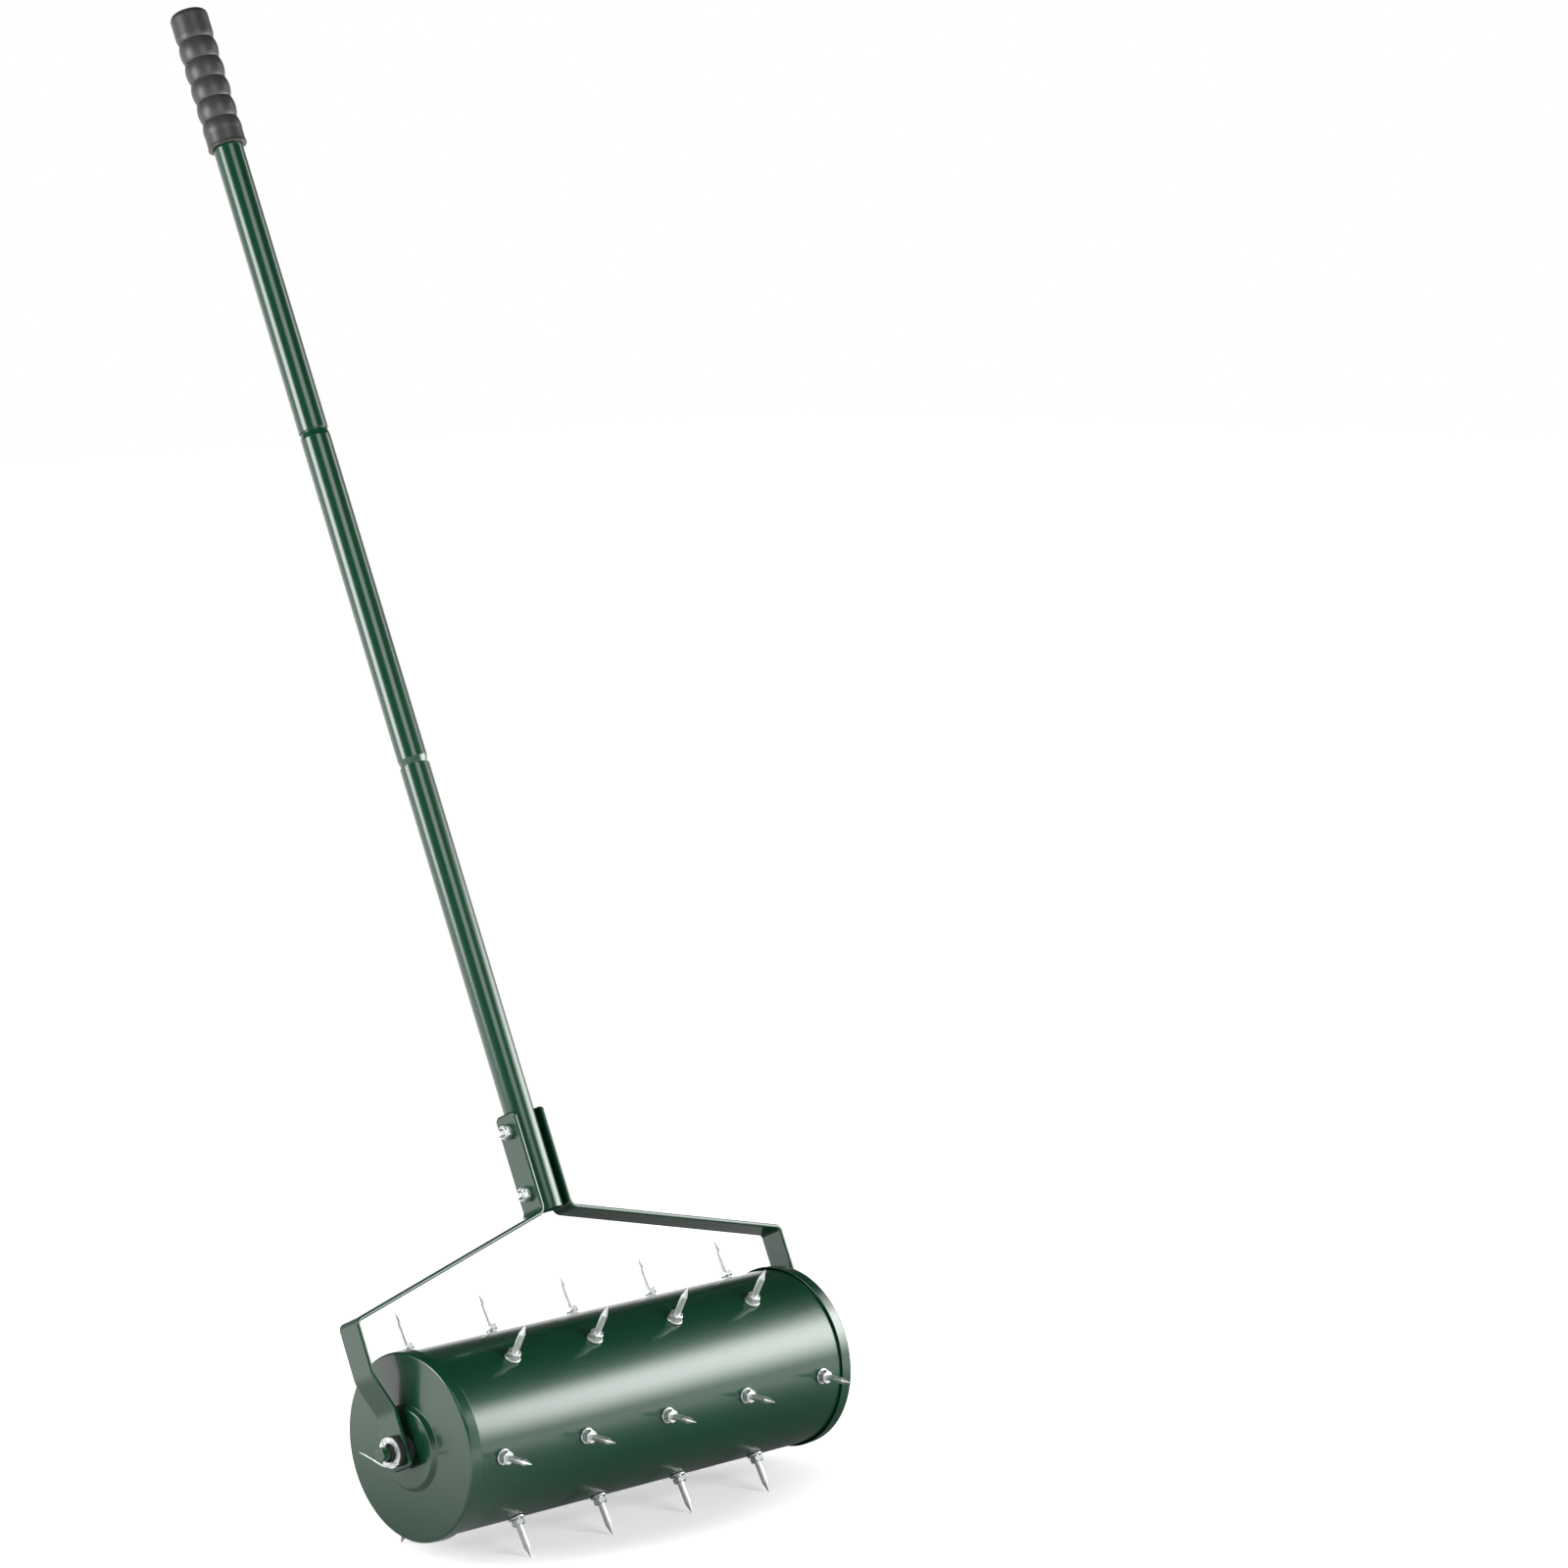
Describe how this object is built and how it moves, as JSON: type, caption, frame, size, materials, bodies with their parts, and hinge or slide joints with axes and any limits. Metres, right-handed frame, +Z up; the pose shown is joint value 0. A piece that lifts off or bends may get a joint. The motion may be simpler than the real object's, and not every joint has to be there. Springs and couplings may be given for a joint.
{
  "type": "rolling spike aerator",
  "caption": "Steel drum set all round with spikes, turning on an axle in a two-armed fork at the foot of a long jointed tube handle with a ribbed rubber grip.",
  "frame": {"origin": "middle of the overall box on the ground plane that the lowest spike tips stand on", "axes": "+Z up, +X along the axle towards the side of the bolt heads, +Y towards the side the handle leans to, where the person walks"},
  "size_m": [0.5232, 0.6914, 1.3601],
  "materials": {
    "green_paint": "gloss",
    "zinc_plate": "bright zinc",
    "bare_steel": "satin",
    "black_nylon": "matte",
    "grip_rubber": "satin"
  },
  "bodies": {
    "frame": {"grip": "grip_rubber", "upper_tube": "green_paint", "middle_tube": "green_paint", "lower_tube": "green_paint", "fork_bar_left": "green_paint", "fork_bar_right": "green_paint", "bracket_bolt_lower": "zinc_plate", "bracket_bolt_upper": "zinc_plate", "bracket_nut_lower": "zinc_plate", "bracket_nut_upper": "zinc_plate"},
    "drum": {"drum_shell": "green_paint", "end_cap_left": "green_paint", "end_cap_right": "green_paint", "hub_tube": "bare_steel", "hub_bush_left": "black_nylon", "hub_bush_right": "black_nylon", "spike_a1": "zinc_plate", "spike_a2": "zinc_plate", "spike_a3": "zinc_plate", "spike_a4": "zinc_plate", "spike_b1": "zinc_plate", "spike_b2": "zinc_plate", "spike_b3": "zinc_plate", "spike_b4": "zinc_plate", "spike_b5": "zinc_plate", "spike_c1": "zinc_plate", "spike_c2": "zinc_plate", "spike_c3": "zinc_plate", "spike_c4": "zinc_plate", "spike_d1": "zinc_plate", "spike_d2": "zinc_plate", "spike_d3": "zinc_plate", "spike_d4": "zinc_plate", "spike_d5": "zinc_plate", "spike_e1": "zinc_plate", "spike_e2": "zinc_plate", "spike_e3": "zinc_plate", "spike_e4": "zinc_plate", "spike_f1": "zinc_plate", "spike_f2": "zinc_plate", "spike_f3": "zinc_plate", "spike_f4": "zinc_plate", "spike_f5": "zinc_plate"},
    "axle": {"axle_rod": "green_paint", "inner_washer_left": "black_nylon", "inner_washer_right": "black_nylon", "outer_washer_left": "zinc_plate", "outer_washer_right": "zinc_plate", "collar_ring_left": "black_nylon", "collar_ring_right": "black_nylon", "cotter_pin_left": "zinc_plate", "cotter_pin_right": "zinc_plate"}
  },
  "joints": [
    {"name": "drum_spin", "type": "hinge", "parent": "frame", "child": "drum", "pos_m": [0, -0.22591, 0.10375], "axis": [1, 0, 0], "continuous": true},
    {"name": "axle_turn", "type": "hinge", "parent": "frame", "child": "axle", "pos_m": [0, -0.22591, 0.10375], "axis": [1, 0, 0], "continuous": true}
  ]
}
